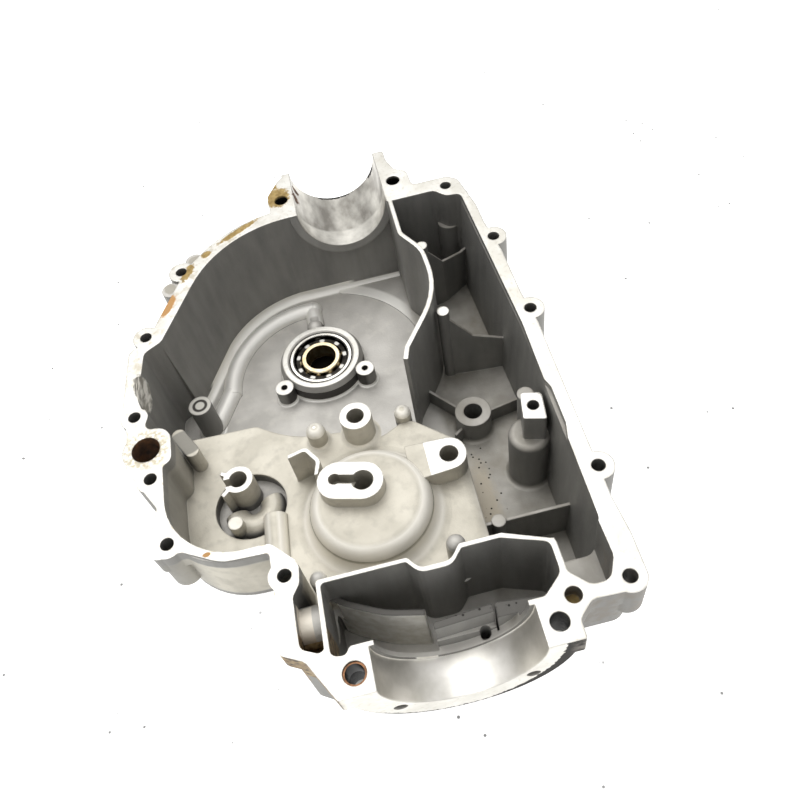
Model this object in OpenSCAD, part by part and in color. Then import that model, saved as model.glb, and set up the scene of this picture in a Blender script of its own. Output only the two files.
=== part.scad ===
// Crankcase side cover: one half of a small engine's case, open side up.
// Origin: centre of the ball bearing, on its inner face. +Z out of the open side,
// +Y towards the half-round neck, -Y towards the cylinder mouth.
// Depths are measured down from the machined joint face.

/* [Ball bearing] */
// Outer diameter of the bearing
bearing_od = 42; // [40:0.5:43]
// Bore of the bearing
bearing_id = 20; // [18:0.5:21]
// Width of the bearing
bearing_w = 12; // [11:0.5:12.5]
// Ball diameter
ball_d = 6.35; // [5:0.05:6.5]
// Number of balls
ball_count = 9; // [7:1:9]
// Running clearance between a ball and its groove
ball_clearance = 0.08; // [0.05:0.01:0.1]

/* [Case depths] */
// Bearing's inner face below the joint face
bearing_depth = 60; // [57:0.5:64]
// Floor of the two deep chambers
deep_depth = 71; // [68:0.5:75]
// Floor of the lobe and of the middle deck
deck_depth = 37; // [35:0.5:40]
// Floor of the mouth chamber
mouth_depth = 60; // [56:0.5:64]
// Thickness of every floor
floor_t = 5; // [4:0.5:6]
// Height of the thick rim under the joint face
rim_t = 14; // [10:0.5:18]
// Depth of the oil pocket beside the mouth
pocket_depth = 30; // [26:1:32]
// How far the deep chambers' walls lean in at the floor
wall_lean = 4; // [3:0.5:5]
// Thickness of the curved baffle
baffle_t = 2.6; // [2:0.1:3.5]

/* [Mouth and neck] */
// Bore radius of the cylinder mouth
mouth_r = 37.5; // [35:0.5:38.5]
// Radius of the lip inside the mouth
mouth_lip_r = 35; // [33:0.5:36]
// Outer radius of the mouth flange
mouth_flange_r = 51.5; // [49:0.5:53]
// Thickness of the mouth flange
mouth_flange_t = 8; // [6:0.5:10]
// Length of the mouth bore, from flange face to lip
mouth_len = 20; // [18:0.5:22]
// Bore radius of the neck
neck_r = 29; // [27:0.5:30]
// Wall of the neck
neck_wall = 5.5; // [4:0.5:6]
// Length of the neck, from the case wall to its open end
neck_len = 46; // [40:1:50]
// How far the neck's inner end stands out of the case wall
neck_lip = 3.5; // [2:0.5:5]

/* [Bolt holes] */
// Diameter of the rim bolt holes
bolt_d = 7; // [6:0.1:7.5]
// Radius of the round boss at each rim bolt
bolt_boss_r = 8; // [7.5:0.1:9]
// Diameter of the cylinder stud and neck bolt holes
stud_d = 9; // [8:0.1:9.5]
// Depth of the bolt bosses below the joint face
bolt_boss_h = 32; // [24:1:36]
// Depth of the two stud bosses behind the mouth flange
stud_boss_h = 24; // [20:1:28]
// Diameter of the large cross bore at the left
pivot_d = 15.5; // [14:0.5:17]

/* [Bearing seat] */
// Radius of the raised bearing boss
seat_boss_r = 27.5; // [26:0.5:29]
// Height of the boss above the bearing's face
seat_lip = 1; // [0.5:0.1:2]
// Radius of the shaft hole behind the bearing
shaft_hole_r = 14; // [12:0.5:15]

/* [Dowel] */
// Outer diameter of the hollow dowel
dowel_od = 11; // [10.5:0.1:11.5]
// Length of the hollow dowel
dowel_len = 12; // [10:0.5:14]
// Clearance between the dowel and its pocket, on the radius
dowel_fit = 0.02; // [0.01:0.005:0.05]

/* [Hidden] */
$fn = 48;

joint_z = bearing_depth;
deep_z = joint_z - deep_depth;
deck_z = joint_z - deck_depth;
under_z = deep_z - floor_t;
pitch_r = (bearing_od + bearing_id) / 4;
groove_r = ball_d / 2 + ball_clearance;

mouth_x = 39;
mouth_y = -238;
// Inner wall between the mouth bore and its chamber
mouth_wall_y = mouth_y + 22;

// Centres of the rim bolts, clockwise from the neck
rim_bolts = [[105, 64.5], [121.5, 9.5], [125.5, -52.5], [126.5, -159], [120.5, mouth_y + 22],
             [-31, -175.5], [-86, -144], [-93.5, -104], [-101.5, -61.5], [-94, -4.5], [-70.5, 43.5]];
neck_bolts = [[-1, 88.5], [73.5, 81.5]];
mouth_studs = [[84.5, mouth_y + 10], [-6.5, mouth_y + 10]];
// Rim bolt with a shorter boss, and two small lugs outside the round wall
short_boss = 4;
side_lugs = [[-62, 53], [-78, 32]];
dowel_at = mouth_studs[1];
blind_dowel_at = [94, mouth_y + 20];
pivot_at = [-95.5, -85];
neck_x = 36.5;
neck_y = 68;

// Outlines are corners [x, y, fillet radius], counter-clockwise, on the joint face.
// Inner edge shared by both deep chambers
deep_edge = [
    [71, -180.8, 3], [94, -190, 6], [117.2, -190, 6], [117.7, -140, 1], [119.6, -131, 1], [119.6, -108, 1],
    [117.6, -102, 1], [118, -62, 30], [112.2, 54, 4], [103, 55, 5], [96.5, 62.5, 5],
    [66, 62.5, 1], [65.5, 69.5, 0.5], [-44, 70.3, 73], [-85, -10.5, 4], [-95.5, -16.5, 5],
    [-99.5, -50, 8]];
// Inner edge of the oil pocket beside the mouth
pocket_edge = [
    [92, -182, 1], [94.8, -192, 3], [95, mouth_y + 31, 3], [103, mouth_y + 22.5, 6],
    [112, mouth_y + 22.5, 6], [117, mouth_y + 33, 5], [116.3, -182, 1]];
// Inner edge of the lobe, the saddle bay and the outside of the mouth chamber;
// it closes with a line that crosses the deep chambers
lobe_edge = [
    [74, -181.1, 0], [80, -150, 0], [84, -90, 0], [20, -55, 0], [-84, -46, 0], [-95.7, -57.6, 0],
    [-93.5, -62, 5], [-97, -72, 4], [-81.9, -72.9, 9], [-82, -95, 5], [-86.9, -98, 2.5],
    [-86.3, -156.3, 38], [-36, -157, 6], [-23.5, -170.5, 6], [-24.5, -181, 4], [-28.5, -187, 3],
    [-28.5, -212, 4], [-20, -216, 2.5], [-17.9, -214.5, 0.8], [-17.2, -181.6, 1.5],
    [26.5, -181.7, 1], [31, -188, 6], [46, -188, 6], [51.5, -181.1, 1]];
// Edge of the middle deck above the deep floor
deck_edge = [
    [-97, -58, 3], [-43, -60, 5], [-22, -75.5, 60], [4, -78, 20], [27, -88.5, 8],
    [44, -80, 8], [70, -104, 8], [69.5, -176, 3]];
// Inner edge of the mouth chamber
mouth_edge = [
    [92, -191, 4], [70.5, -183.2, 3], [52, -183.4, 1], [46, -190.5, 7], [31, -190.5, 7],
    [25.5, -183.6, 1], [-15.2, -183.8, 2], [-15.5, mouth_wall_y - 2.5, 3], [-9, mouth_wall_y - 3.5, 2.5],
    [-6.5, mouth_wall_y + 0.2, 2], [82, mouth_wall_y + 0.5, 3], [92, mouth_wall_y + 9.5, 5]];
// Outer edge of the joint face
rim_edge = [
    [73, 114, 2], [4.5, 114, 2], [-1.5, 108, 3], [-9.5, 95, 6], [-9.5, 78.6, 1],
    [-30, 76, 78], [-63, 53.2, 78], [-94, -8, 5], [-104.5, -13, 6], [-108, -52, 8], [-106, -72, 2],
    [-106.5, -95, 3], [-90.5, -122.5, 3], [-94.5, -138, 3], [-94, -152, 4], [-79, -150.3, 4],
    [-60, -161, 22], [-36.8, -162, 2], [-36.8, -183, 3], [-38.5, -190, 4], [-38.5, -212, 4],
    [-27, mouth_y + 20, 4], [-15.5, mouth_y, 1], [93.5, mouth_y, 1], [93.5, mouth_y + 9, 4],
    [101, mouth_y + 16, 5], [128.5, mouth_y + 15, 7], [128.5, -196, 6], [126.5, -176, 4], [126.5, -64, 4], [124, -40, 4],
    [123, -4, 4], [119.5, 24, 4], [119, 40, 5], [114, 68, 5], [108, 73, 5], [84.5, 73, 3],
    [84, 88, 5], [76.5, 93, 4], [73, 104, 4]];
// Outside of the deep chambers below the rim
deep_shell = [
    [122, -62, 20], [117, 56, 8], [110, 70, 6], [84, 73, 3], [70, 75, 3], [-45, 75, 77], [-90, -8, 4],
    [-101, -14, 5], [-104, -64, 8], [-42, -66, 5], [-22, -82, 40], [3, -84, 14], [26, -95, 6],
    [43, -88, 8], [64, -108, 8], [63.5, -182, 4], [88, -197, 6], [122, -197, 8], [122.5, -140, 4]];
// Outside of the oil pocket beside the mouth
pocket_shell = [[86, -180, 1], [88, mouth_y + 16, 6], [121, mouth_y + 16, 8], [122, -180, 1]];
// Outside of the lobe and the middle deck below the rim
lobe_shell = [
    [-91.5, -60, 5], [-91.5, -161.5, 42], [-33, -162, 5], [-33, -186, 4], [95, -186, 4], [95, -60, 1]];
// Outside of the mouth chamber below the rim
mouth_shell = [
    [97, -186, 4], [97, mouth_y + 28, 6], [90, mouth_y + 16.5, 5], [-18, mouth_y + 16.5, 5],
    [-34, -212, 4], [-34, -186, 3], [-20, -179, 3], [60, -178, 2]];
// Centre line of the curved baffle
baffle_line = [[67.8, 66, 0], [67.8, 31, 8], [77.5, 13.5, 24], [78.9, -22, 60], [53, -59, 3], [50.5, -67, 0]];
// Centre of the round chamber, its wall at the top and the foot of that wall
round_at = [0, -3, 0];
round_r = 73.3;
foot_r = round_r - wall_lean + 0.5;
floor_fillet = 5;

// Split stop boss in the lobe
split_at = [-53.5, -102.5];
split_r = 8.3;
prong_ends = [[-62.6, -96.2], [-62.5, -110.8]];
// Keyhole boss: the two ends of its round-ended pad
key_ends = [[0.5, -124.5], [13, -128]];
key_r = 11;
key_z = joint_z - 12;
// Lower chain boss, its four-ribbed foot and the tab beside it
ribbed_at = [83.5, -74.5];
ribbed_z = joint_z - 54;
post_at = [16, -83];
post_z = joint_z - 18;
tab_at = [60.5, -117.5];
tab_z = joint_z - 24;
tower_at = [106.3, -113];
tower_r = 11.6;
dome_at = [14, -134];

function unit(v) = v / norm(v);
function left_of(v) = [-v[1], v[0]];
function cross2(a, b) = a[0] * b[1] - a[1] * b[0];
// Points of the arc that rounds the corner b between a and c
function corner(a, b, c, r) =
    let (u = unit(a - b), v = unit(c - b), half = acos(u * v) / 2)
    r <= 0 || half > 89 ? [b] :
    let (mid = b + unit(u + v) * r / sin(half),
         from = b + u * r / tan(half) - mid,
         turn = sign(cross2(-u, v)) * (180 - 2 * half),
         steps = max(1, round(abs(turn) * sqrt(r) / 45)))
    [for (i = [0 : steps])
        let (t = turn * i / steps)
        mid + [from[0] * cos(t) - from[1] * sin(t), from[0] * sin(t) + from[1] * cos(t)]];
function xy(p) = [p[0], p[1]];
// Closed outline with its corners rounded
function rounded(c) =
    let (n = len(c))
    [for (i = [0 : n - 1]) each corner(xy(c[(i + n - 1) % n]), xy(c[i]), xy(c[(i + 1) % n]), c[i][2])];
// Open line with its corners rounded
function smoothed(c) =
    let (n = len(c))
    [for (i = [0 : n - 1])
        each (i == 0 || i == n - 1 ? [xy(c[i])] : corner(xy(c[i - 1]), xy(c[i]), xy(c[i + 1]), c[i][2]))];
// Open line moved to its left by d
function beside(p, d) =
    let (n = len(p))
    [for (i = [0 : n - 1])
        let (a = left_of(unit(p[max(i, 1)] - p[max(i, 1) - 1])),
             b = left_of(unit(p[min(i + 1, n - 1)] - p[min(i + 1, n - 1) - 1])))
        p[i] + d * (a + b) / (1 + a * b)];
function flip(p) = [for (i = [len(p) - 1 : -1 : 0]) p[i]];

module plate(corners, z0, z1) {
    translate([0, 0, z0])
        linear_extrude(z1 - z0)
            polygon(rounded(corners));
}

module post(at, r, z0, z1) {
    translate([at[0], at[1], z0])
        cylinder(r = r, h = z1 - z0);
}

// Round post with a rounded top edge
module round_post(at, r, edge, z0, z1) {
    post(at, r, z0, z1 - edge);
    post(at, r - edge, z0, z1);
    translate([at[0], at[1], z1 - edge])
        rotate_extrude()
            translate([r - edge, 0])
                circle(edge, $fn = 24);
}

// Post with round ends about a and b
module long_post(a, b, r, z0, z1) {
    l = norm(b - a);
    translate([a[0], a[1], 0])
        rotate(atan2(b[1] - a[1], b[0] - a[0]))
            plate([[-r, -r, 0.99 * r], [l + r, -r, 0.99 * r], [l + r, r, 0.99 * r], [-r, r, 0.99 * r]], z0, z1);
}

// Round post with a domed top
module nub(at, r, z0, z1) {
    post(at, r, z0, z1 - r);
    translate([at[0], at[1], z1 - r])
        sphere(r, $fn = 20);
}

// Half or whole cylinder lying along Y
module lying_y(x, z, r, y0, y1) {
    translate([x, y1, z])
        rotate([90, 0, 0])
            cylinder(r = r, h = y1 - y0, $fn = 80);
}

// Half-round tube lying on a floor from a to b
module half_tube(a, b, r, z) {
    translate([a[0], a[1], z])
        rotate([90, 0, atan2(b[1] - a[1], b[0] - a[0]) + 90])
            linear_extrude(norm(b - a))
                half_round(r);
}

module half_round(r) {
    intersection() {
        circle(r, $fn = 40);
        translate([-r - 1, -1])
            square([2 * r + 2, r + 2]);
    }
}

module below_joint() {
    translate([-200, -300, joint_z - 100])
        cube([400, 500, 100]);
}

module outer_body() {
    plate(rim_edge, joint_z - rim_t, joint_z);
    plate(deep_shell, under_z, joint_z - 1);
    plate(pocket_shell, joint_z - pocket_depth - floor_t, joint_z - 1);
    plate(lobe_shell, deck_z - floor_t, joint_z - 1);
    plate(mouth_shell, joint_z - mouth_depth - floor_t, joint_z - 1);
    for (i = [0 : len(rim_bolts) - 1])
        let (h = i == short_boss ? stud_boss_h : bolt_boss_h)
            post(rim_bolts[i], bolt_boss_r, joint_z - h, joint_z);
    for (p = neck_bolts)
        post(p, bolt_boss_r + 1, joint_z - bolt_boss_h, joint_z);
    for (p = mouth_studs)
        post(p, bolt_boss_r - 0.5, joint_z - stud_boss_h, joint_z);
    for (x = [-2, 48])
        translate([x, neck_y + 17, joint_z - bolt_boss_h + 4])
            cube([26, 5, bolt_boss_h - 6]);
    for (p = side_lugs)
        post(p, 6, joint_z - rim_t, joint_z - 2);
    post(pivot_at, 13, joint_z - bolt_boss_h, joint_z);
    post([-51, -112], 24, deck_z - 12, deck_z - 1);
    intersection() {
        union() {
            lying_y(neck_x, joint_z, neck_r + neck_wall, neck_y - 4, neck_y + neck_len);
            lying_y(mouth_x, joint_z, mouth_flange_r, mouth_y, mouth_y + mouth_flange_t);
            lying_y(mouth_x, joint_z, mouth_r + 6, mouth_y, mouth_y + mouth_len + 4);
        }
        below_joint();
    }
}

module chambers() {
    plate(concat(deep_edge, deck_edge), deep_z, joint_z + 1);
    plate(lobe_edge, deck_z, joint_z + 1);
    plate(pocket_edge, joint_z - pocket_depth, joint_z + 1);
    plate(mouth_edge, joint_z - mouth_depth, joint_z + 1);
    stop_pocket();
}

// Half-round ways of the mouth and the neck, bored last through all that stands in them
module bores() {
    lying_y(mouth_x, joint_z, mouth_r, mouth_y - 1, mouth_y + mouth_len);
    lying_y(mouth_x, joint_z, mouth_lip_r, mouth_y, mouth_wall_y + 2);
    lying_y(neck_x, joint_z, neck_r, neck_y - neck_lip - 5, neck_y + neck_len + 1);
}

// Inner end of the neck, cut off on a slant: it stands out of the case wall at its bottom
module neck_end() {
    intersection() {
        lying_y(neck_x, joint_z, neck_r + neck_wall, neck_y - 10, neck_y + 10);
        below_joint();
        translate([neck_x, neck_y + 2.2, joint_z])
            rotate([-atan((neck_lip + 2.2) / neck_r), 0, 0])
                translate([-50, 0, -60])
                    cube([100, 20, 80]);
    }
}

module bolt_holes() {
    for (p = rim_bolts)
        post(p, bolt_d / 2, joint_z - bolt_boss_h - 1, joint_z + 1);
    for (p = concat(neck_bolts, mouth_studs))
        post(p, stud_d / 2, under_z - 1, joint_z + 1);
    post(dowel_at, dowel_od / 2 + dowel_fit, joint_z - dowel_len, joint_z + 1);
    post(blind_dowel_at, 4, joint_z - 9, joint_z + 1);
    post(pivot_at, pivot_d / 2, joint_z - bolt_boss_h - 1, joint_z + 1);
}

module baffle() {
    line = smoothed(baffle_line);
    translate([0, 0, deep_z - 1])
        linear_extrude(deep_depth + 1)
            polygon(concat(beside(line, baffle_t / 2), flip(beside(line, -baffle_t / 2))));
}

// Section of the round chamber's wall: it leans in and is rounded into the floor
module wall_section() {
    difference() {
        polygon([[foot_r - 4.8, deep_z - 1], [round_r + 2.2, deep_z - 1], [round_r + 2.2, joint_z - 4],
                 [round_r, joint_z - 4], [foot_r, deep_z + floor_fillet], [foot_r - 4.8, deep_z]]);
        translate([foot_r - 4.8, deep_z + floor_fillet])
            circle(floor_fillet, $fn = 24);
    }
}

// Straight stretch of that wall, square to direction a, from s0 to s1 along it
module straight_wall(a, s0, s1) {
    translate(round_at)
        rotate(a)
            translate([-0.3, -s0, 0])
                rotate([90, 0, 0])
                    linear_extrude(s1 - s0)
                        wall_section();
}

module round_wall() {
    translate(round_at)
        rotate(87)
            rotate_extrude(angle = 69, $fn = 80)
                wall_section();
    straight_wall(90, -8, 67);
    straight_wall(153.1, -46, 8);
}

// Corner of the deep floor behind the round sweep, a step higher
module raised_corner() {
    difference() {
        plate([[20, 66, 0], [67.5, 66, 0], [67.5, 31, 0], [77, 12, 0], [77, -20, 0], [70, -31, 0], [60, -20, 0]],
              deep_z - 1, deep_z + 1);
        translate(round_at)
            translate([0, 0, deep_z - 2])
                cylinder(r = 68.5, h = 4, $fn = 80);
    }
}

// Half-round oil ridge along the round wall, hooked towards the bearing
module oil_ridge() {
    translate([-3, -7, deep_z])
        rotate(86)
            rotate_extrude(angle = 94, $fn = 80)
                translate([59.5, 0])
                    half_round(6);
    half_tube([-62.4, -3.4], [-76, -30], 6.2, deep_z);
    half_tube([0, 35], [0, 52], 5.6, deep_z);
}

// Long right-hand wall, leaning in towards the floor
module long_wall() {
    translate([118, -62, 0])
        rotate([90, 0, 0])
            wall_wedge(145);
    translate([118, -62, 0])
        rotate(2.9)
            translate([0, 116, 0])
                rotate([90, 0, 0])
                    wall_wedge(119);
}

module wall_wedge(l) {
    linear_extrude(l)
        polygon([[2.5, deep_z - 2], [-wall_lean, deep_z - 2], [-0.3, joint_z - 4], [2.5, joint_z - 4]]);
}

module bearing_boss() {
    post([0, 0], seat_boss_r, deep_z - 1, seat_lip - 3.5);
    translate([0, 0, seat_lip - 3.5])
        cylinder(r1 = seat_boss_r, r2 = seat_boss_r - 2.1, h = 3.5);
    for (p = [[-26.5, -18.5], [26.5, -18.5]])
        post(p, 6, deep_z - 1, seat_lip);
    nub([0, 29], 5.5, deep_z - 1, seat_lip + 1);
}

module bearing_seat_cut() {
    rotate_extrude()
        polygon([[0, -bearing_w], [bearing_od / 2, -bearing_w], [bearing_od / 2, 0],
                 [bearing_od / 2 + seat_lip + 1, seat_lip + 1], [0, seat_lip + 1]]);
    translate([0, 0, under_z - 1])
        cylinder(r = shaft_hole_r, h = floor_t + bearing_w + 2);
    for (p = [[-26.5, -18.5], [26.5, -18.5]])
        post(p, 2, seat_lip - 6, seat_lip + 1);
}

// Thin upright wall from a to b; its top falls from z1 to z2
module rib(a, b, t, z1, z2) {
    l = norm(b - a);
    translate([a[0], a[1], 0])
        rotate([90, 0, atan2(b[1] - a[1], b[0] - a[0])])
            translate([0, 0, -t / 2])
                linear_extrude(t)
                    polygon([[0, deep_z - 1], [l, deep_z - 1], [l, z2], [0, z1]]);
}

module right_chamber_details() {
    for (y = [28.7, -28.9])
        post([79.6, y], 3.6, deep_z - 1, joint_z - 12);
    rib([80, 29], [92.3, 32.5], 1.8, joint_z - 15, joint_z - 33.5);
    rib([92, 32.4], [106.3, 41.7], 1.8, joint_z - 33.5, joint_z - 38.5);
    rib([106, 41.5], [113.5, 46.5], 1.8, joint_z - 38.4, joint_z - 38.4);
    post([104.3, 61], 7.6, deep_z - 1, joint_z - 26.5);
    rib([80, -30.5], [95.3, -32], 1.8, joint_z - 15, joint_z - 36);
    rib([95, -32], [117, -34], 1.8, joint_z - 36, joint_z - 44.5);
    rib([68, -154.5], [117, -154.5], 1.8, joint_z - 42, joint_z - 42);
    post([77, -154.5], 3.8, deep_z - 1, joint_z - 41);
    post(ribbed_at, 10.8, deep_z - 1, ribbed_z);
    for (b = [[62, -48], [113, -69], [70, -84]])
        rib(ribbed_at, b, 1.6, ribbed_z - 6, ribbed_z - 6);
    round_post(tower_at, tower_r, 3.5, deep_z - 1, joint_z - 30);
    plate([[102, -116.5, 1], [113.8, -120, 1], [116, -103, 3], [105, -100, 2]], joint_z - 31, joint_z - 10);
    post([107.8, -100.8], 4.5, deep_z - 1, joint_z - 11);
}

module deck_details() {
    translate([dome_at[0], dome_at[1], deck_z - 1])
        rotate_extrude($fn = 60)
            union() {
                square([24, 17]);
                square([33, 8]);
                translate([24, 8])
                    intersection() {
                        circle(9, $fn = 24);
                        square(9);
                    }
            }
    post(post_at, 9, deck_z - 1, post_z);
    long_post(key_ends[0], key_ends[1], key_r, deck_z - 1, key_z);
    plate([[38, -129, 1], [62, -127.2, 9], [70, -127.2, 9.6], [70, -107.7, 9.6], [38, -106.5, 1]],
          deck_z - 1, tab_z);
    plate([[-23.5, -102, 0.5], [-13, -99.5, 3], [-6.5, -110, 3], [-9, -118, 0], [-11, -118, 0],
           [-8.8, -110.3, 2], [-14, -101.8, 2], [-23.5, -104.2, 0.5]], deck_z - 1, key_z);
    nub([-8, -81], 5.5, deck_z - 1, joint_z - 22);
    nub([42, -78], 4.8, deck_z - 12, joint_z - 29);
    nub([50.5, -177], 4.8, deck_z - 1, joint_z - 4);
    long_post([-84, -65.5], [-77, -78], 4, deck_z - 1, joint_z - 20);
    nub([-17, -177], 4.2, deck_z - 1, joint_z - 6);
    post([-77.3, -29.5], 7.1, deep_z - 1, joint_z - 43);
    translate([-29.5, -197, joint_z - 19])
        rotate([0, 90, 0])
            cylinder(r = 11, h = 13);
}

// Round pocket in the lobe, with the split boss on its curved foot
module stop_pocket() {
    difference() {
        post([-51, -112], 20, deck_z - 7, deck_z + 1);
        post([split_at[0], split_at[1]], split_r, deck_z - 8, deck_z + 2);
    }
}

// Thin prong of the split boss, reaching to b
module prong(b) {
    l = norm(b - split_at);
    translate([split_at[0], split_at[1], deck_z - 8])
        rotate(atan2(b[1] - split_at[1], b[0] - split_at[0]))
            translate([split_r - 3, -1.1, 0])
                cube([l - split_r + 3, 2.2, joint_z - 22 - deck_z + 8]);
}

module stop_boss() {
    difference() {
        union() {
            post(split_at, split_r, deck_z - 8, joint_z - 22);
            for (b = prong_ends)
                prong(b);
            translate([-50, -112, deck_z - 6])
                rotate([0, 0, 190])
                    rotate_extrude(angle = 190, $fn = 40)
                        translate([10, 0])
                            half_round(7);
            half_tube([-38.5, -122], [-40.5, -159], 6.5, deck_z - 0.5);
            post([-59, -124], 4.1, deck_z - 8, joint_z - 30);
        }
        plate([[-66, -101, 0], [-50, -101, 0], [-50, -105.5, 0], [-66, -105.5, 0]], joint_z - 32, joint_z);
    }
}

module mouth_chamber_details() {
    line = smoothed([[-16, -181, 0], [-8, -187.5, 20], [10, -197, 40], [28.5, -201.5, 0]]);
    translate([0, 0, joint_z - mouth_depth - 1])
        linear_extrude(mouth_depth - 19)
            polygon(concat(beside(line, 1.5), flip(beside(line, -1.5))));
    plate([[31, mouth_wall_y, 0], [59.5, mouth_wall_y, 0], [59.5, mouth_wall_y + 8.5, 1],
           [31, mouth_wall_y + 6.5, 1]], joint_z - mouth_depth - 1, joint_z - 27);
    plate([[31, mouth_wall_y + 3, 0], [59.5, mouth_wall_y + 4.5, 0], [59.5, mouth_wall_y + 8.5, 1],
           [31, mouth_wall_y + 6.5, 1]], joint_z - mouth_depth - 1, joint_z - 14);
    plate([[60.5, mouth_wall_y, 0], [90, mouth_wall_y, 0], [88, mouth_wall_y + 6.5, 1],
           [60.5, mouth_wall_y + 9.5, 1]], joint_z - mouth_depth - 1, joint_z - 16);
}

module detail_holes() {
    post(ribbed_at, 5.5, deep_z, ribbed_z + 1);
    post(post_at, 4.9, deck_z - 2, post_z + 1);
    post(split_at, 5, deck_z - 4, joint_z);
    post(tab_at, 5.1, deck_z - 2, tab_z + 1);
    post([109.4, -109.7], 3.2, joint_z - 30, joint_z);
    post([13, -127.8], 5.8, deck_z - 2, joint_z);
    post([-1.2, -123.4], 3.2, key_z - 8, joint_z);
    translate([-1.2, -123.4 - 2.6, key_z - 8])
        rotate(-16)
            cube([14, 5.2, 20]);
    for (x = [8, 70])
        translate([x, mouth_y - 1, joint_z - 30])
            rotate([-90, 0, 0])
                cylinder(r = 3.3, h = 16);
    post([54, mouth_wall_y + 1.5], 2.6, joint_z - 45, joint_z - 20);
    translate([-16.2, -190, joint_z - 31])
        rotate([0, 90, 0])
            cylinder(r = 11.5, h = 5);
}

module crankcase() {
    color("gainsboro")
        difference() {
            union() {
                difference() {
                    outer_body();
                    chambers();
                }
                neck_end();
                baffle();
                round_wall();
                raised_corner();
                oil_ridge();
                long_wall();
                bearing_boss();
                right_chamber_details();
                difference() {
                    deck_details();
                    stop_pocket();
                }
                stop_boss();
                mouth_chamber_details();
            }
            bores();
            bolt_holes();
            detail_holes();
            bearing_seat_cut();
        }
}

// Bearing ring between radii r0 and r1 with its outer edges chamfered and a ball groove
module race(r0, r1) {
    c = 0.6;
    color("lightsteelblue")
        rotate_extrude($fn = 96)
            difference() {
                polygon([[r0, -bearing_w], [r1 - c, -bearing_w], [r1, -bearing_w + c], [r1, -c],
                         [r1 - c, 0], [r0, 0]]);
                translate([pitch_r, -bearing_w / 2])
                    circle(groove_r, $fn = 48);
            }
}

module bearing_outer_ring() {
    race(pitch_r + 2.4, bearing_od / 2);
}

module bearing_inner_ring() {
    race(bearing_id / 2, pitch_r - 2.6);
}

module at_balls() {
    for (i = [0 : ball_count - 1])
        rotate(360 / ball_count * (i + 0.25))
            translate([pitch_r, 0, -bearing_w / 2])
                children();
}

module bearing_cage() {
    color("dimgray")
        difference() {
            translate([0, 0, -bearing_w / 2 - 3.8])
                difference() {
                    cylinder(r = pitch_r + 1.2, h = 7.6);
                    translate([0, 0, -1])
                        cylinder(r = pitch_r - 1.2, h = 9.6);
                }
            at_balls()
                sphere(ball_d / 2 + 0.2, $fn = 32);
        }
}

module bearing_balls() {
    color("silver")
        at_balls()
            sphere(d = ball_d, $fn = 32);
}

module hollow_dowel() {
    color("peru")
        translate([dowel_at[0], dowel_at[1], joint_z - dowel_len])
            difference() {
                cylinder(d = dowel_od, h = dowel_len - 1);
                translate([0, 0, -1])
                    cylinder(d = stud_d, h = dowel_len + 1);
            }
}

crankcase();
bearing_outer_ring();
bearing_inner_ring();
bearing_cage();
bearing_balls();
hollow_dowel();
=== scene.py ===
"""Half crankcase of a small engine, open side up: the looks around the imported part."""

import math

import bmesh
import bpy
from mathutils import Matrix, Vector


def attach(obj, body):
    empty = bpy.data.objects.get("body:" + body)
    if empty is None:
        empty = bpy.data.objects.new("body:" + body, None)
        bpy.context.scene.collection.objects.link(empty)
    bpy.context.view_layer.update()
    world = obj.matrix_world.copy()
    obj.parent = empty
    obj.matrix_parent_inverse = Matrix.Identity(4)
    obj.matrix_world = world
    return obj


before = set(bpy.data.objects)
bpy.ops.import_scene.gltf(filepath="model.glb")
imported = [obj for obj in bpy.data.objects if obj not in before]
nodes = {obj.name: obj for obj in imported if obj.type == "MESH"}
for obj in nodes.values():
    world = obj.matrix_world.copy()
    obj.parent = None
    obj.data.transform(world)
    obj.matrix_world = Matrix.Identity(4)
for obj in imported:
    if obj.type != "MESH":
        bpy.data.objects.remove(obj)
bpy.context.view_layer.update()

# --- Casting -----------------------------------------------------------------
# The half case is one pressure die casting in aluminium. Its walls and floors keep
# the matt grey skin of the die; the joint face, the bores and the tops of the bosses
# are milled or bored bright. Old sealant, oil film and rust stain it in places.


def linear(code):
    """An sRGB hex colour as linear RGBA."""
    parts = [int(code[i : i + 2], 16) / 255 for i in (1, 3, 5)]
    return [c / 12.92 if c <= 0.04045 else ((c + 0.055) / 1.055) ** 2.4 for c in parts] + [1]


def add(tree, kind, links=None, out=0, **settings):
    """Adds one node with its settings; links maps an input to a socket or a value."""
    node = tree.nodes.new(kind)
    for name, value in settings.items():
        setattr(node, name, value)
    for key, value in (links or {}).items():
        if isinstance(value, bpy.types.NodeSocket):
            tree.links.new(value, node.inputs[key])
        else:
            node.inputs[key].default_value = value
    return node.outputs[out] if len(node.outputs) else node


def new_material(name):
    """An empty material and its node tree."""
    material = bpy.data.materials.new(name)
    material.use_nodes = True
    material.node_tree.nodes.clear()
    return material, material.node_tree


casting, tree = new_material("die_cast_aluminium")
place = add(tree, "ShaderNodeTexCoord", out="Object")
turned = add(tree, "ShaderNodeTexCoord", out="Normal")
mm = add(tree, "ShaderNodeVectorMath", {0: place, "Scale": 1000.0}, operation="SCALE")
x_mm, y_mm, z_mm = (add(tree, "ShaderNodeSeparateXYZ", {0: mm}, out=i) for i in range(3))
up = add(tree, "ShaderNodeSeparateXYZ", {0: turned}, out="Z")


def calc(operation, a, b=0.0, c=0.0):
    """Plain arithmetic between sockets and numbers."""
    return add(tree, "ShaderNodeMath", {0: a, 1: b, 2: c}, operation=operation)


def ramp(value, low, high, start=0.0, end=1.0):
    """value between low and high mapped to start and end, held outside them."""
    return add(tree, "ShaderNodeMapRange", {0: value, 1: low, 2: high, 3: start, 4: end})


def between(value, low, high, soft):
    """1 from low to high, easing to 0 over soft outside them."""
    return calc("MULTIPLY", ramp(value, low - soft, low), ramp(value, high, high + soft, 1.0, 0.0))


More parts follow.
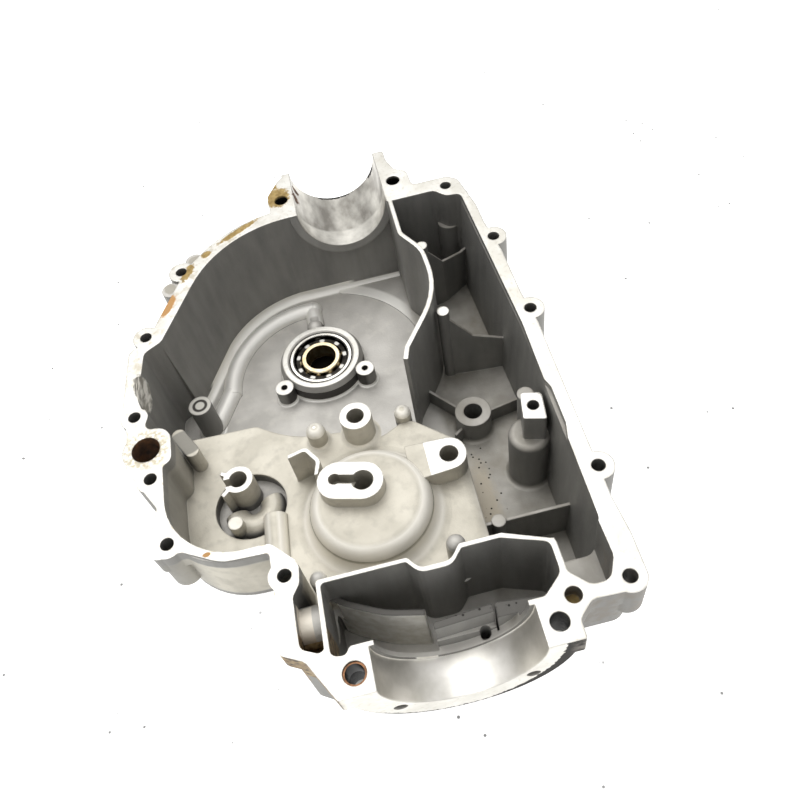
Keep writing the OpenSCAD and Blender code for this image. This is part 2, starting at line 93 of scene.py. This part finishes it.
def paint(under, over, share):
    """One colour laid over another by a share."""
    return add(tree, "ShaderNodeMix", {0: share, 6: under, 7: over}, out=2, data_type="RGBA")


def blotches(size_mm, detail=4.0, stretch=(1, 1, 1), low=0.35, high=0.65):
    """Cloudy pattern of patches about size_mm across, from 0 to 1."""
    scaled = add(tree, "ShaderNodeMapping", {0: mm, 3: [s / size_mm for s in stretch]})
    return ramp(add(tree, "ShaderNodeTexNoise", {0: scaled, "Scale": 1.0, "Detail": detail}), low, high)


def patch(at, size, turn=0.0, ragged=0.5, soft=0.25):
    """Oval patch with a ragged edge: its centre, half sizes and turn about Z."""
    local = add(tree, "ShaderNodeMapping", {0: mm, 1: at, 2: (0, 0, math.radians(turn)), 3: size},
                vector_type="TEXTURE")
    reach = add(tree, "ShaderNodeVectorMath", {0: local}, out="Value", operation="LENGTH")
    reach = calc("MULTIPLY_ADD", calc("SUBTRACT", torn, 0.5), ragged * 2, reach)
    return ramp(reach, 1.0, 1.0 - soft)


def patches(*spots):
    """Several patches as one mask."""
    mask = patch(*spots[0])
    for spot in spots[1:]:
        mask = calc("MAXIMUM", mask, patch(*spot))
    return mask


torn = add(tree, "ShaderNodeTexNoise", {0: mm, "Scale": 0.42, "Detail": 5.0, "Roughness": 0.62})

# Milled tops: the joint face and the flat tops of the bosses. Bored: mouth and neck.
JOINT_Z = 60.0
flat = calc("GREATER_THAN", up, 0.985)
milled = calc("COMPARE", z_mm, JOINT_Z, 0.2)
for level, share in ((48.0, 1.0), (42.0, 1.0), (38.0, 1.0), (50.0, 1.0), (1.0, 0.75)):
    milled = calc("MAXIMUM", milled, calc("MULTIPLY", calc("COMPARE", z_mm, level, 0.2), share))
tab = calc("MULTIPLY", calc("COMPARE", z_mm, 36.0, 0.2), calc("GREATER_THAN", x_mm, 48.5))
disc = calc("MULTIPLY", calc("COMPARE", z_mm, 30.0, 0.2), calc("LESS_THAN", x_mm, 0.0))
milled = calc("MULTIPLY", calc("MAXIMUM", calc("MAXIMUM", milled, tab), calc("MULTIPLY", disc, 0.4)), flat)
flange = calc("LESS_THAN", y_mm, -237.9)
drop = calc("SUBTRACT", z_mm, JOINT_Z)


def bored(x_axis, radius, y_low, y_high):
    """The wall of a half-round bore that lies along Y."""
    off = calc("SUBTRACT", x_mm, x_axis)
    reach = calc("SQRT", calc("ADD", calc("MULTIPLY", off, off), calc("MULTIPLY", drop, drop)))
    return calc("MULTIPLY", calc("COMPARE", reach, radius, 0.35), between(y_mm, y_low, y_high, 0.1))


mouth_bore = bored(39.0, 37.5, -240.0, -217.9)
neck_bore = bored(36.5, 29.0, 60.0, 120.0)
bores = calc("MAXIMUM", calc("MAXIMUM", mouth_bore, neck_bore), flange)
bright = calc("MAXIMUM", milled, bores)

# Die skin: grey in the deep chambers, paler and warmer on the deck; painted highlight and shade on top
skin = paint(linear("#b5b2ac"), linear("#cdcac4"), blotches(26.0))
skin = paint(skin, linear("#d2cfc7"), calc("MULTIPLY", blotches(7.0, low=0.5, high=0.75), 0.5))
pale = paint(linear("#c0bbae"), linear("#d3cec1"), blotches(18.0))
pale = paint(pale, linear("#a39f94"), calc("MULTIPLY", blotches(6.0, detail=7.0, low=0.5, high=0.72), 0.4))
on_deck = calc("MULTIPLY", between(z_mm, 22.0, 52.0, 1.5), between(y_mm, -181.5, -50.0, 1.0))
on_deck = calc("MULTIPLY", on_deck, ramp(x_mm, 74.0, 66.0))
baffle_end = calc("MULTIPLY", ramp(x_mm, 44.0, 46.0), ramp(y_mm, -70.0, -68.0))
on_deck = calc("MULTIPLY", on_deck, calc("SUBTRACT", 1.0, baffle_end))
skin = paint(skin, pale, on_deck)
# Painted highlight: the deck's sloping faces painted near white
slope_highlight = calc("MULTIPLY", calc("MULTIPLY", on_deck, between(up, 0.25, 0.9, 0.08)), ramp(z_mm, 23.2, 24.5))
skin = paint(skin, linear("#f4f0e6"), slope_highlight)
oily = calc("MULTIPLY", between(x_mm, 68.0, 120.0, 4.0), between(y_mm, -215.0, 60.0, 8.0))
skin = paint(skin, linear("#8a857a"), calc("MULTIPLY", oily, blotches(20.0, low=0.2, high=0.8)))
strip = patch((77.0, -125.0, -11.0), (9.0, 34.0, 4.0), 0.0, 0.4, 0.5)
skin = paint(skin, linear("#b8ae9b"), calc("MULTIPLY", strip, 0.7))
# Painted shade: faces that turn sideways are painted darker grey with vertical streaks, less on the deck
wall = ramp(up, 0.6, 0.1)
streaks = blotches(9.0, detail=5.0, stretch=(1, 1, 0.2), low=0.3, high=0.7)
skin = paint(skin, paint(linear("#777674"), linear("#8b8a86"), streaks),
             calc("MULTIPLY", wall, ramp(calc("MULTIPLY", on_deck, ramp(x_mm, -92.0, -70.0)), 0.0, 1.0, 0.88, 0.15)))
# Painted shade: corners and crevices, found by ambient occlusion, painted dark in cloudy patches
crevice_shade = add(tree, "ShaderNodeAmbientOcclusion", {"Distance": 0.012}, out="AO", samples=4)
crevice_shade = ramp(crevice_shade, 0.6, 0.15, 0.0, 0.5)
skin = paint(skin, linear("#35322d"), calc("MULTIPLY", crevice_shade, blotches(9.0, low=0.15, high=0.5)))

# Painted highlight: the oil ridge and the fillet round the chamber floor painted near white
from_bearing = add(tree, "ShaderNodeVectorMath", {0: add(tree, "ShaderNodeCombineXYZ", {0: x_mm, 1: y_mm}),
                                                  1: (0.0, -1.5, 0.0)}, out="Value", operation="DISTANCE")
ridge_highlight = calc("MULTIPLY", between(z_mm, -10.4, -5.0, 0.5), between(from_bearing, 44.0, 74.0, 2.0))
ridge_highlight = calc("MULTIPLY", calc("MULTIPLY", ridge_highlight, ramp(y_mm, -62.0, -50.0)), ramp(x_mm, 66.0, 60.0))
skin = paint(skin, linear("#f2f0ea"), ridge_highlight)
# Painted highlight: sloped faces just above the chamber floor painted near white
foot_highlight = calc("MULTIPLY", between(up, 0.3, 0.88, 0.1), calc("MULTIPLY", between(z_mm, -10.9, -6.5, 0.5), ramp(x_mm, 70.0, 64.0)))
skin = paint(skin, linear("#f2f0ea"), foot_highlight)
# Painted shade: the side of the bearing boss painted dark grey
boss_side_shade = calc("MULTIPLY", calc("MULTIPLY", ramp(from_bearing, 36.0, 34.0), between(z_mm, -9.0, 0.6, 0.5)), wall)
skin = paint(skin, linear("#4d4b48"), boss_side_shade)

# Mouth chamber: the curved wall behind the bore painted near white as painted light; its ledges greyer
slant = calc("MULTIPLY_ADD", x_mm, 0.3, y_mm)
lit_wall_behind_bore = calc("MULTIPLY", between(slant, -212.0, -188.4, 0.3), between(x_mm, -13.0, 29.5, 0.5))
lit_wall_behind_bore = calc("MULTIPLY", calc("MULTIPLY", lit_wall_behind_bore, wall), ramp(z_mm, 41.0, 39.5))
skin = paint(skin, paint(linear("#f8f6f0"), linear("#e6e3da"), blotches(5.0, detail=6.0)), lit_wall_behind_bore)
ledges = calc("MAXIMUM", calc("COMPARE", z_mm, 40.0, 0.3), calc("COMPARE", z_mm, 45.0, 1.3))
ledges = calc("MULTIPLY", ledges, flat)
ledges = calc("MULTIPLY", ledges, between(y_mm, -217.0, -181.0, 0.5))
skin = paint(skin, linear("#5f5d59"), ledges)
# Painted light and shade: the saddle over the cross boss, pale on top, dark brown down its near side
saddle = calc("MULTIPLY", between(x_mm, -37.5, -22.6, 0.3), between(y_mm, -213.0, -189.0, 0.5))
saddle = calc("MULTIPLY", saddle, between(z_mm, 20.0, 55.0, 0.5))
skin = paint(skin, paint(linear("#e4ddd0"), linear("#8a7a68"), ramp(y_mm, -200.0, -208.0)), saddle)

# Short boss's flat top painted grey as painted shade of a rounded top; ringed top of the post by the left wall
capsule_top_shade = calc("MULTIPLY", calc("COMPARE", z_mm, 40.0, 0.3), patch((-80.5, -71.7, 40.0), (11.0, 9.0, 3.0), 0.0, 0.0, 0.1))
skin = paint(skin, linear("#8f8c84"), capsule_top_shade)
nose = add(tree, "ShaderNodeVectorMath", {0: mm, 1: (-77.3, -29.5, 17.0)}, out="Value", operation="DISTANCE")
skin = paint(skin, linear("#cfccc4"), ramp(nose, 6.9, 6.5))
skin = paint(skin, linear("#45423e"), between(nose, 3.2, 4.4, 0.6))

# Dark casting pits, thickest on the strip of the deck by the deep chamber
cells = add(tree, "ShaderNodeTexVoronoi", {0: mm, "Scale": 0.36}, out="Distance")
kept = add(tree, "ShaderNodeTexVoronoi", {0: mm, "Scale": 0.36}, out="Color")
pits = calc("MULTIPLY", ramp(cells, 0.26, 0.17), calc("GREATER_THAN", kept, 0.4))
pitted = patches(
    ((80, -118, -10), (9, 40, 10)),
    ((45, -209, 46), (16, 3, 4)),
    ((75, -209, 44), (14, 3, 4)),
)
skin = paint(skin, linear("#1d1b18"), calc("MULTIPLY", pits, pitted))

metal = paint(linear("#e3e1db"), linear("#cfccc3"), blotches(14.0))
metal = paint(metal, linear("#aca698"), calc("MULTIPLY", blotches(2.5, detail=6.0, low=0.55, high=0.75), 0.5))
crust = calc("MULTIPLY", blotches(6.0, detail=9.0, low=0.54, high=0.66), ramp(x_mm, -12.0, -30.0, 0.15, 0.7))
metal = paint(metal, linear("#b5ac98"), calc("MULTIPLY", crust, calc("COMPARE", z_mm, JOINT_Z, 0.2)))
stained = paint(linear("#85817a"), linear("#bfbcb4"), blotches(9.0, detail=7.0, stretch=(1, 0.5, 1)))
register = paint(linear("#b9b6ae"), linear("#d2cfc7"), blotches(6.0))
stained = paint(register, stained, ramp(y_mm, 77.0, 79.0))
metal = paint(metal, stained, neck_bore)
metal = paint(metal, paint(linear("#e8e5df"), linear("#d1cec6"), blotches(12.0)), mouth_bore)
colour = paint(skin, metal, bright)

# Old sealant left on the joint face, dry and tan
sealant = patches(
    ((-3, 92, 60), (9, 11, 2)),
    ((-7, 104, 60), (6, 4, 2)),
    ((-32, 68.5, 60), (18, 2.6, 2), 29),
    ((-54, 54, 60), (4, 3, 2), 40),
    ((-66.5, 41.5, 60), (9, 3.4, 2), 62, 0.8),
    ((48, -215.6, 57), (26, 1.4, 3)),
    ((94, -218, 52), (4.5, 4.5, 3)),
)
colour = paint(colour, paint(linear("#b39a63"), linear("#8f7746"), blotches(3.0)), sealant)
orange = patches(((-79.5, 17, 60), (3.4, 10, 3), -27), ((-67, -155, 60), (2.2, 1.3, 3)))
colour = paint(colour, linear("#bd8a45"), calc("MULTIPLY", orange, 0.9))
grey = patches(((-62, 54, 58), (4.6, 3.6, 4), 20, 0.2), ((-78.5, 33, 58), (4.4, 5, 4), 20, 0.2))
colour = paint(colour, linear("#a7a297"), grey)

# Rust: in the large cross bore and where water stood on the neck
ring = add(tree, "ShaderNodeVectorMath", {0: add(tree, "ShaderNodeCombineXYZ", {0: x_mm, 1: y_mm}),
                                          1: (-95.5, -85.0, 0.0)}, out="Value", operation="DISTANCE")
in_bore = calc("MULTIPLY", calc("LESS_THAN", ring, 7.9), calc("LESS_THAN", z_mm, 59.9))
halo = calc("MULTIPLY", between(ring, 7.5, 11.5, 2.5), blotches(1.6, detail=7.0, low=0.38, high=0.58))
rust = calc("MAXIMUM", in_bore, patches(((9, 94, 56), (3, 6, 7)), ((9, 105, 52), (3, 3, 6))))
colour = paint(colour, linear("#958b72"), calc("MULTIPLY", calc("MULTIPLY", halo, 0.75), flat))
colour = paint(colour, paint(linear("#6d4a2c"), linear("#3d2a1c"), blotches(4.0)), rust)

# Black gasket residue on the flange and along the outer edge of the neck
off = calc("SUBTRACT", x_mm, 39.0)
reach = calc("SQRT", calc("ADD", calc("MULTIPLY", off, off), calc("MULTIPLY", drop, drop)))
inner = calc("MULTIPLY_ADD", calc("SUBTRACT", torn, 0.5), 5.0, ramp(x_mm, 46.0, 88.0, 50.2, 44.8))
residue = calc("MULTIPLY", calc("MULTIPLY", flange, ramp(calc("SUBTRACT", reach, inner), 0.0, 0.4)),
               ramp(x_mm, -8.0, 10.0))
residue = calc("MAXIMUM", residue,
               patches(((30, 114, 32), (20, 2.2, 5), 0.0, 0.9), ((62, 113, 46), (4, 2.5, 10), 0.0, 0.9)))
colour = paint(colour, linear("#24211d"), residue)
# Painted shade: the insides of four bolt holes painted near black below the joint face
for at in ((84.5, -228.0), (-6.5, -228.0), (-1.0, 88.5), (73.5, 81.5)):
    hole_shade = add(tree, "ShaderNodeVectorMath", {0: mm, 1: (at[0], at[1], 0.0)}, operation="SUBTRACT")
    hole_shade = add(tree, "ShaderNodeVectorMath", {0: hole_shade, 1: (1.0, 1.0, 0.0)}, operation="MULTIPLY")
    hole_shade = calc("LESS_THAN", add(tree, "ShaderNodeVectorMath", {0: hole_shade}, out="Value", operation="LENGTH"), 4.65)
    colour = paint(colour, linear("#12100e"), calc("MULTIPLY", hole_shade, ramp(z_mm, 59.7, 58.0)))

# The scooped side of the mouth's left foot, stained tan and brown
side = calc("MULTIPLY", calc("LESS_THAN", up, 0.6), between(z_mm, 30.0, 59.7, 0.3))
scoop = calc("MULTIPLY", calc("MULTIPLY", side, between(y_mm, -237.0, -205.0, 2.0)), ramp(x_mm, -13.0, -16.0))
foot_side = calc("MULTIPLY", calc("MULTIPLY", side, ramp(x_mm, 86.0, 90.0)), ramp(y_mm, -192.0, -198.0))
colour = paint(colour, linear("#86817a"), calc("MULTIPLY", foot_side, blotches(5.0, detail=8.0, low=0.4, high=0.65)))
tan = paint(paint(linear("#a8946f"), linear("#6b5236"), blotches(4.0, detail=6.0)), linear("#2b2119"),
            blotches(3.0, detail=7.0, low=0.52, high=0.66))
colour = paint(colour, tan, scoop)

# Torn patch on the rim's inner edge at the left, raw and streaked
tear = patches(((-97.0, -43, 53), (5.4, 14.0, 13), 12, 0.25, 0.12))
combed = add(tree, "ShaderNodeTexNoise", {0: add(tree, "ShaderNodeMapping", {0: mm, 2: (0, 0, 0.25),
                                                                            3: (1.1, 0.09, 0.3)}), "Scale": 1.0})
# Painted shade: the raw patch is painted darker where it faces sideways than on top
raw = paint(paint(linear("#57544e"), linear("#b0aca3"), ramp(combed, 0.4, 0.6)),
            paint(linear("#a19d94"), linear("#f2efe8"), ramp(combed, 0.4, 0.6)), wall)
colour = paint(colour, raw, tear)

# Relief: 0.4 mm grain of the die skin, fine mill marks on the joint face
grain = add(tree, "ShaderNodeTexNoise", {0: mm, "Scale": 1.1, "Detail": 3.0})
lump = add(tree, "ShaderNodeTexNoise", {0: mm, "Scale": 0.16, "Detail": 2.0})
relief = calc("MULTIPLY", calc("MULTIPLY_ADD", grain, 0.5, lump), ramp(bright, 0.0, 1.0, 1.0, 0.05))
relief = calc("MULTIPLY_ADD", calc("MAXIMUM", sealant, orange), 0.6, relief)
relief = calc("MULTIPLY_ADD", calc("MULTIPLY", combed, tear), 1.2, relief)
soft_edge = add(tree, "ShaderNodeBevel", {"Radius": 0.0012}, samples=4)
bump = add(tree, "ShaderNodeBump", {"Strength": 0.5, "Distance": 0.0004, "Height": relief, "Normal": soft_edge})
dull = calc("MAXIMUM", calc("MAXIMUM", sealant, orange), calc("MAXIMUM", rust, residue))
rough = calc("MAXIMUM", ramp(bright, 0.0, 1.0, 0.58, 0.34), ramp(dull, 0.0, 1.0, 0.0, 0.75))
shader = add(tree, "ShaderNodeBsdfPrincipled", {
    "Base Color": colour, "Roughness": rough, "Metallic": calc("SUBTRACT", ramp(bright, 0.0, 1.0, 0.6, 0.9), calc("MULTIPLY", dull, 0.6)), "Normal": bump})
add(tree, "ShaderNodeOutputMaterial", {0: shader})
nodes["crankcase"].data.materials.clear()
nodes["crankcase"].data.materials.append(casting)

# --- Cast fillets --------------------------------------------------------------
# The die rounds every boss into the floor it stands on. These rings are the same
# metal as the casting, laid round the feet of the bosses.


def foot(mesh, at, radius, fillet, floor_z, start=0.0, stop=360.0):
    """Concave ring round a post's foot, in mm."""
    around, across = 48, 7
    rows = []
    for i in range(around + 1):
        t = math.radians(start + (stop - start) * i / around)
        row = []
        for j in range(across + 1):
            s = math.radians(90 * j / across)
            reach = radius + fillet * (1 - math.cos(s))
            rise = floor_z + fillet * (1 - math.sin(s))
            row.append(mesh.verts.new(((at[0] + reach * math.cos(t)) / 1000,
                                       (at[1] + reach * math.sin(t)) / 1000, rise / 1000)))
        rows.append(row)
    for one, two in zip(rows, rows[1:]):
        for a, b, c, d in zip(one, two, two[1:], one[1:]):
            mesh.faces.new((a, b, c, d))


rings = bmesh.new()
for at, radius, fillet, floor_z in (
    ((16, -83), 9.0, 3.0, 23.0),
    ((14, -134), 33.0, 9.0, 23.0),
    ((83.5, -74.5), 10.8, 2.5, -11.0),
    ((106.3, -113), 11.6, 3.0, -11.0),
    ((-77.3, -29.5), 7.1, 2.5, -11.0),
    ((-8, -81), 5.5, 2.5, 23.0),
    ((50.5, -177), 4.8, 3.0, 23.0),
    ((0, 0), 27.5, 2.0, -11.0),
    ((26.5, -18.5), 6.0, 2.0, -11.0),
    ((-26.5, -18.5), 6.0, 2.0, -11.0),
    ((-59, -124), 4.1, 3.0, 16.0),
):
    foot(rings, at, radius - 0.05, fillet, floor_z + 0.02)
for x, y in ((0.6, 52.2), (-62.6, -5.2)):
    bmesh.ops.create_uvsphere(rings, u_segments=32, v_segments=16, radius=0.0059,
                              matrix=Matrix.Translation((x / 1000, y / 1000, -0.011)))
buried = [vert for vert in rings.verts if vert.co.z < -0.0122]
bmesh.ops.delete(rings, geom=buried, context="VERTS")
bmesh.ops.recalc_face_normals(rings, faces=rings.faces)
fillets = bpy.data.objects.new("cast_fillets", bpy.data.meshes.new("cast_fillets"))
rings.to_mesh(fillets.data)
rings.free()
fillets.data.polygons.foreach_set("use_smooth", [True] * len(fillets.data.polygons))
bpy.context.scene.collection.objects.link(fillets)
fillets.data.materials.append(casting)
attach(fillets, "case")

# --- Ball bearing ------------------------------------------------------------
# Deep-groove bearing of ground chrome steel. The inner ring is bright with an oil tint, the outer ring
# painted dark but for one band as painted shade, the cage dark with painted ball crowns, the balls polished.


def plain_metal(name, first, second, size_mm, roughness):
    """Metal whose colour drifts between two tones over size_mm."""
    material, grown = new_material(name)
    at = add(grown, "ShaderNodeTexCoord", out="Object")
    cloud = add(grown, "ShaderNodeTexNoise", {0: at, "Scale": 1000.0 / size_mm, "Detail": 3.0})
    share = add(grown, "ShaderNodeMapRange", {0: cloud, 1: 0.35, 2: 0.65, 3: 0.0, 4: 1.0})
    tone = add(grown, "ShaderNodeMix", {0: share, 6: linear(first), 7: linear(second)}, out=2, data_type="RGBA")
    body = add(grown, "ShaderNodeBsdfPrincipled", {"Base Color": tone, "Metallic": 1.0, "Roughness": roughness})
    add(grown, "ShaderNodeOutputMaterial", {0: body})
    return material


outer_steel = plain_metal("ground_bearing_steel", "#e4e1da", "#cbc7bd", 6.0, 0.24)
tree = outer_steel.node_tree
reach = add(tree, "ShaderNodeVectorMath", {0: add(tree, "ShaderNodeVectorMath", {
    0: add(tree, "ShaderNodeTexCoord", out="Object"), 1: (1000.0, 1000.0, 0.0)}, operation="MULTIPLY")},
    out="Value", operation="LENGTH")
# Painted shade: the outer ring painted near black outside one bright band from 18.7 to 20.1 mm
ring_shade = calc("SUBTRACT", 1.0, between(reach, 18.7, 20.1, 0.15))
steel = next(n for n in tree.nodes if n.type == "BSDF_PRINCIPLED")
tone = steel.inputs["Base Color"].links[0].from_socket
tree.links.new(paint(tone, linear("#1a1815"), calc("MULTIPLY", ring_shade, 0.93)), steel.inputs["Base Color"])

cage_steel = plain_metal("oiled_pressed_cage", "#35322e", "#1f1d1a", 3.0, 0.4)
tree = cage_steel.node_tree
spot = add(tree, "ShaderNodeVectorMath", {0: add(tree, "ShaderNodeTexCoord", out="Object"), "Scale": 1000.0},
           operation="SCALE")
x_mm, y_mm = (add(tree, "ShaderNodeSeparateXYZ", {0: spot}, out=i) for i in range(2))
# Painted highlight: the balls' bright crowns and glint painted on the cage top at nine places
turned = calc("MULTIPLY", calc("ARCTAN2", y_mm, x_mm), 9 / math.tau)
around = calc("MULTIPLY", calc("SUBTRACT", calc("FRACT", calc("ADD", turned, 0.5)), 0.5), 10.8)
across = calc("SUBTRACT", calc("SQRT", calc("MULTIPLY_ADD", x_mm, x_mm, calc("MULTIPLY", y_mm, y_mm))), 15.5)
crown_highlight = calc("SQRT", calc("MULTIPLY_ADD", around, around, calc("MULTIPLY", across, across)))
steel = next(n for n in tree.nodes if n.type == "BSDF_PRINCIPLED")
tone = steel.inputs["Base Color"].links[0].from_socket
tree.links.new(paint(tone, linear("#c2c0ba"), ramp(crown_highlight, 2.1, 1.2)), steel.inputs["Base Color"])

dowel_steel = plain_metal("browned_dowel_sleeve", "#8f684c", "#5c4434", 2.0, 0.4)
tree = dowel_steel.node_tree
steel = next(n for n in tree.nodes if n.type == "BSDF_PRINCIPLED")
tone = steel.inputs["Base Color"].links[0].from_socket
# Painted shade: the dowel's sideways faces painted near black, its top keeps the browned tone
facing = add(tree, "ShaderNodeSeparateXYZ", {0: add(tree, "ShaderNodeTexCoord", out="Normal")}, out="Z")
tree.links.new(paint(linear("#0e0c0a"), tone, ramp(facing, 0.4, 0.8)), steel.inputs["Base Color"])

for node, material in {
    "bearing_outer_ring": outer_steel,
    "bearing_inner_ring": plain_metal("oil_tinted_bearing_steel", "#e9dcbd", "#cfb98e", 5.0, 0.28),
    "bearing_cage": cage_steel,
    "bearing_balls": plain_metal("polished_ball_steel", "#d5d2cb", "#bdb9b0", 4.0, 0.12),
    "hollow_dowel": dowel_steel,
}.items():
    nodes[node].data.materials.clear()
    nodes[node].data.materials.append(material)

# --- Floor, light and camera -------------------------------------------------
# White paper floor under the case, a large soft lamp overhead and the camera where
# the photographer stood. The paper is painted dark under the case as a painted shadow.
FLOOR_Z = -0.016
bpy.ops.mesh.primitive_plane_add(size=6.0, location=(0.0, 0.0, FLOOR_Z - 0.0005))
floor = bpy.context.object
floor.name = "paper_floor"
paper, tree = new_material("white_paper")
mm = add(tree, "ShaderNodeVectorMath", {0: add(tree, "ShaderNodeTexCoord", out="Object"), "Scale": 1000.0},
         operation="SCALE")
x_mm, y_mm = (add(tree, "ShaderNodeSeparateXYZ", {0: mm}, out=i) for i in range(2))
# Painted shadow: three soft boxes under the case; real specks of dust are added after
shadow_under_case = calc("MULTIPLY", between(x_mm, -42.0, 112.0, 6.0), between(y_mm, -60.0, 48.0, 6.0))
for x_low, x_high, y_low, y_high in ((60.0, 112.0, -196.0, -50.0), (-15.0, 90.0, -208.0, -180.0)):
    box = calc("MULTIPLY", between(x_mm, x_low, x_high, 6.0), between(y_mm, y_low, y_high, 6.0))
    shadow_under_case = calc("MAXIMUM", shadow_under_case, box)
cells = add(tree, "ShaderNodeTexVoronoi", {0: mm, "Scale": 0.11}, out="Distance")
kept = add(tree, "ShaderNodeTexVoronoi", {0: mm, "Scale": 0.11}, out="Color")
specks = calc("MULTIPLY", ramp(cells, 0.13, 0.08), calc("GREATER_THAN", kept, 0.66))
specks = calc("MULTIPLY", specks, blotches(60.0, low=0.48, high=0.52))
clear_of_shadow_and_specks = calc("SUBTRACT", 1.0, calc("MAXIMUM", shadow_under_case, calc("MULTIPLY", specks, 0.8)))
diffuse = add(tree, "ShaderNodeBsdfDiffuse", {0: paint(linear("#1c1a18"), linear("#f4f4f2"), clear_of_shadow_and_specks)})
glow = add(tree, "ShaderNodeEmission", {0: (1, 1, 1, 1), 1: calc("MULTIPLY", clear_of_shadow_and_specks, 0.85)})
camera_ray = add(tree, "ShaderNodeLightPath", out="Is Camera Ray")
glossy_ray = add(tree, "ShaderNodeLightPath", out="Is Glossy Ray")
lit = add(tree, "ShaderNodeAddShader", {0: diffuse, 1: glow})
both = add(tree, "ShaderNodeMixShader", {0: calc("MAXIMUM", camera_ray, glossy_ray), 1: diffuse, 2: lit})
add(tree, "ShaderNodeOutputMaterial", {0: both})
floor.data.materials.append(paper)

world = bpy.data.worlds.new("studio")
bpy.context.scene.world = world
world.use_nodes = True
world.node_tree.nodes.clear()
tree = world.node_tree
camera_ray = add(tree, "ShaderNodeLightPath", out="Is Camera Ray")
glossy_ray = add(tree, "ShaderNodeLightPath", out="Is Glossy Ray")
power = ramp(calc("MAXIMUM", camera_ray, glossy_ray), 0.0, 1.0, 0.8, 1.0)
sky = add(tree, "ShaderNodeBackground", {0: (1, 1, 1, 1), 1: power})
add(tree, "ShaderNodeOutputWorld", {0: sky})

lamp = bpy.data.lights.new("soft_overhead", "AREA")
lamp.shape = "RECTANGLE"
lamp.size = 1.2
lamp.size_y = 0.9
lamp.energy = 7.0
holder = bpy.data.objects.new("soft_overhead", lamp)
holder.location = (-0.15, 0.35, 1.1)
holder.rotation_euler = (Vector((0.03, -0.05, 0)) - holder.location).to_track_quat("-Z", "Y").to_euler()
bpy.context.scene.collection.objects.link(holder)

FOCAL_PX = 806.0
pitch, roll, yaw = math.radians(53.87), math.radians(12.48), math.radians(1.7)
right = Vector((1, 0, 0))
ahead = Vector((0, math.cos(pitch), -math.sin(pitch)))
down = Vector((0, -math.sin(pitch), -math.cos(pitch)))
across = math.cos(roll) * right + math.sin(roll) * down
below = -math.sin(roll) * right + math.cos(roll) * down
turn = Matrix.Rotation(-yaw, 3, "Z")
axes = Matrix((turn @ across, turn @ -below, turn @ -ahead)).transposed()
camera = bpy.data.objects.new("camera", bpy.data.cameras.new("camera"))
camera.matrix_world = Matrix.Translation((0.0344, -0.3439, 0.4037)) @ axes.to_4x4()
camera.data.sensor_width = 36.0
camera.data.lens = FOCAL_PX / 800 * 36
bpy.context.scene.collection.objects.link(camera)
bpy.context.scene.camera = camera
bpy.context.scene.view_settings.view_transform = "Standard"
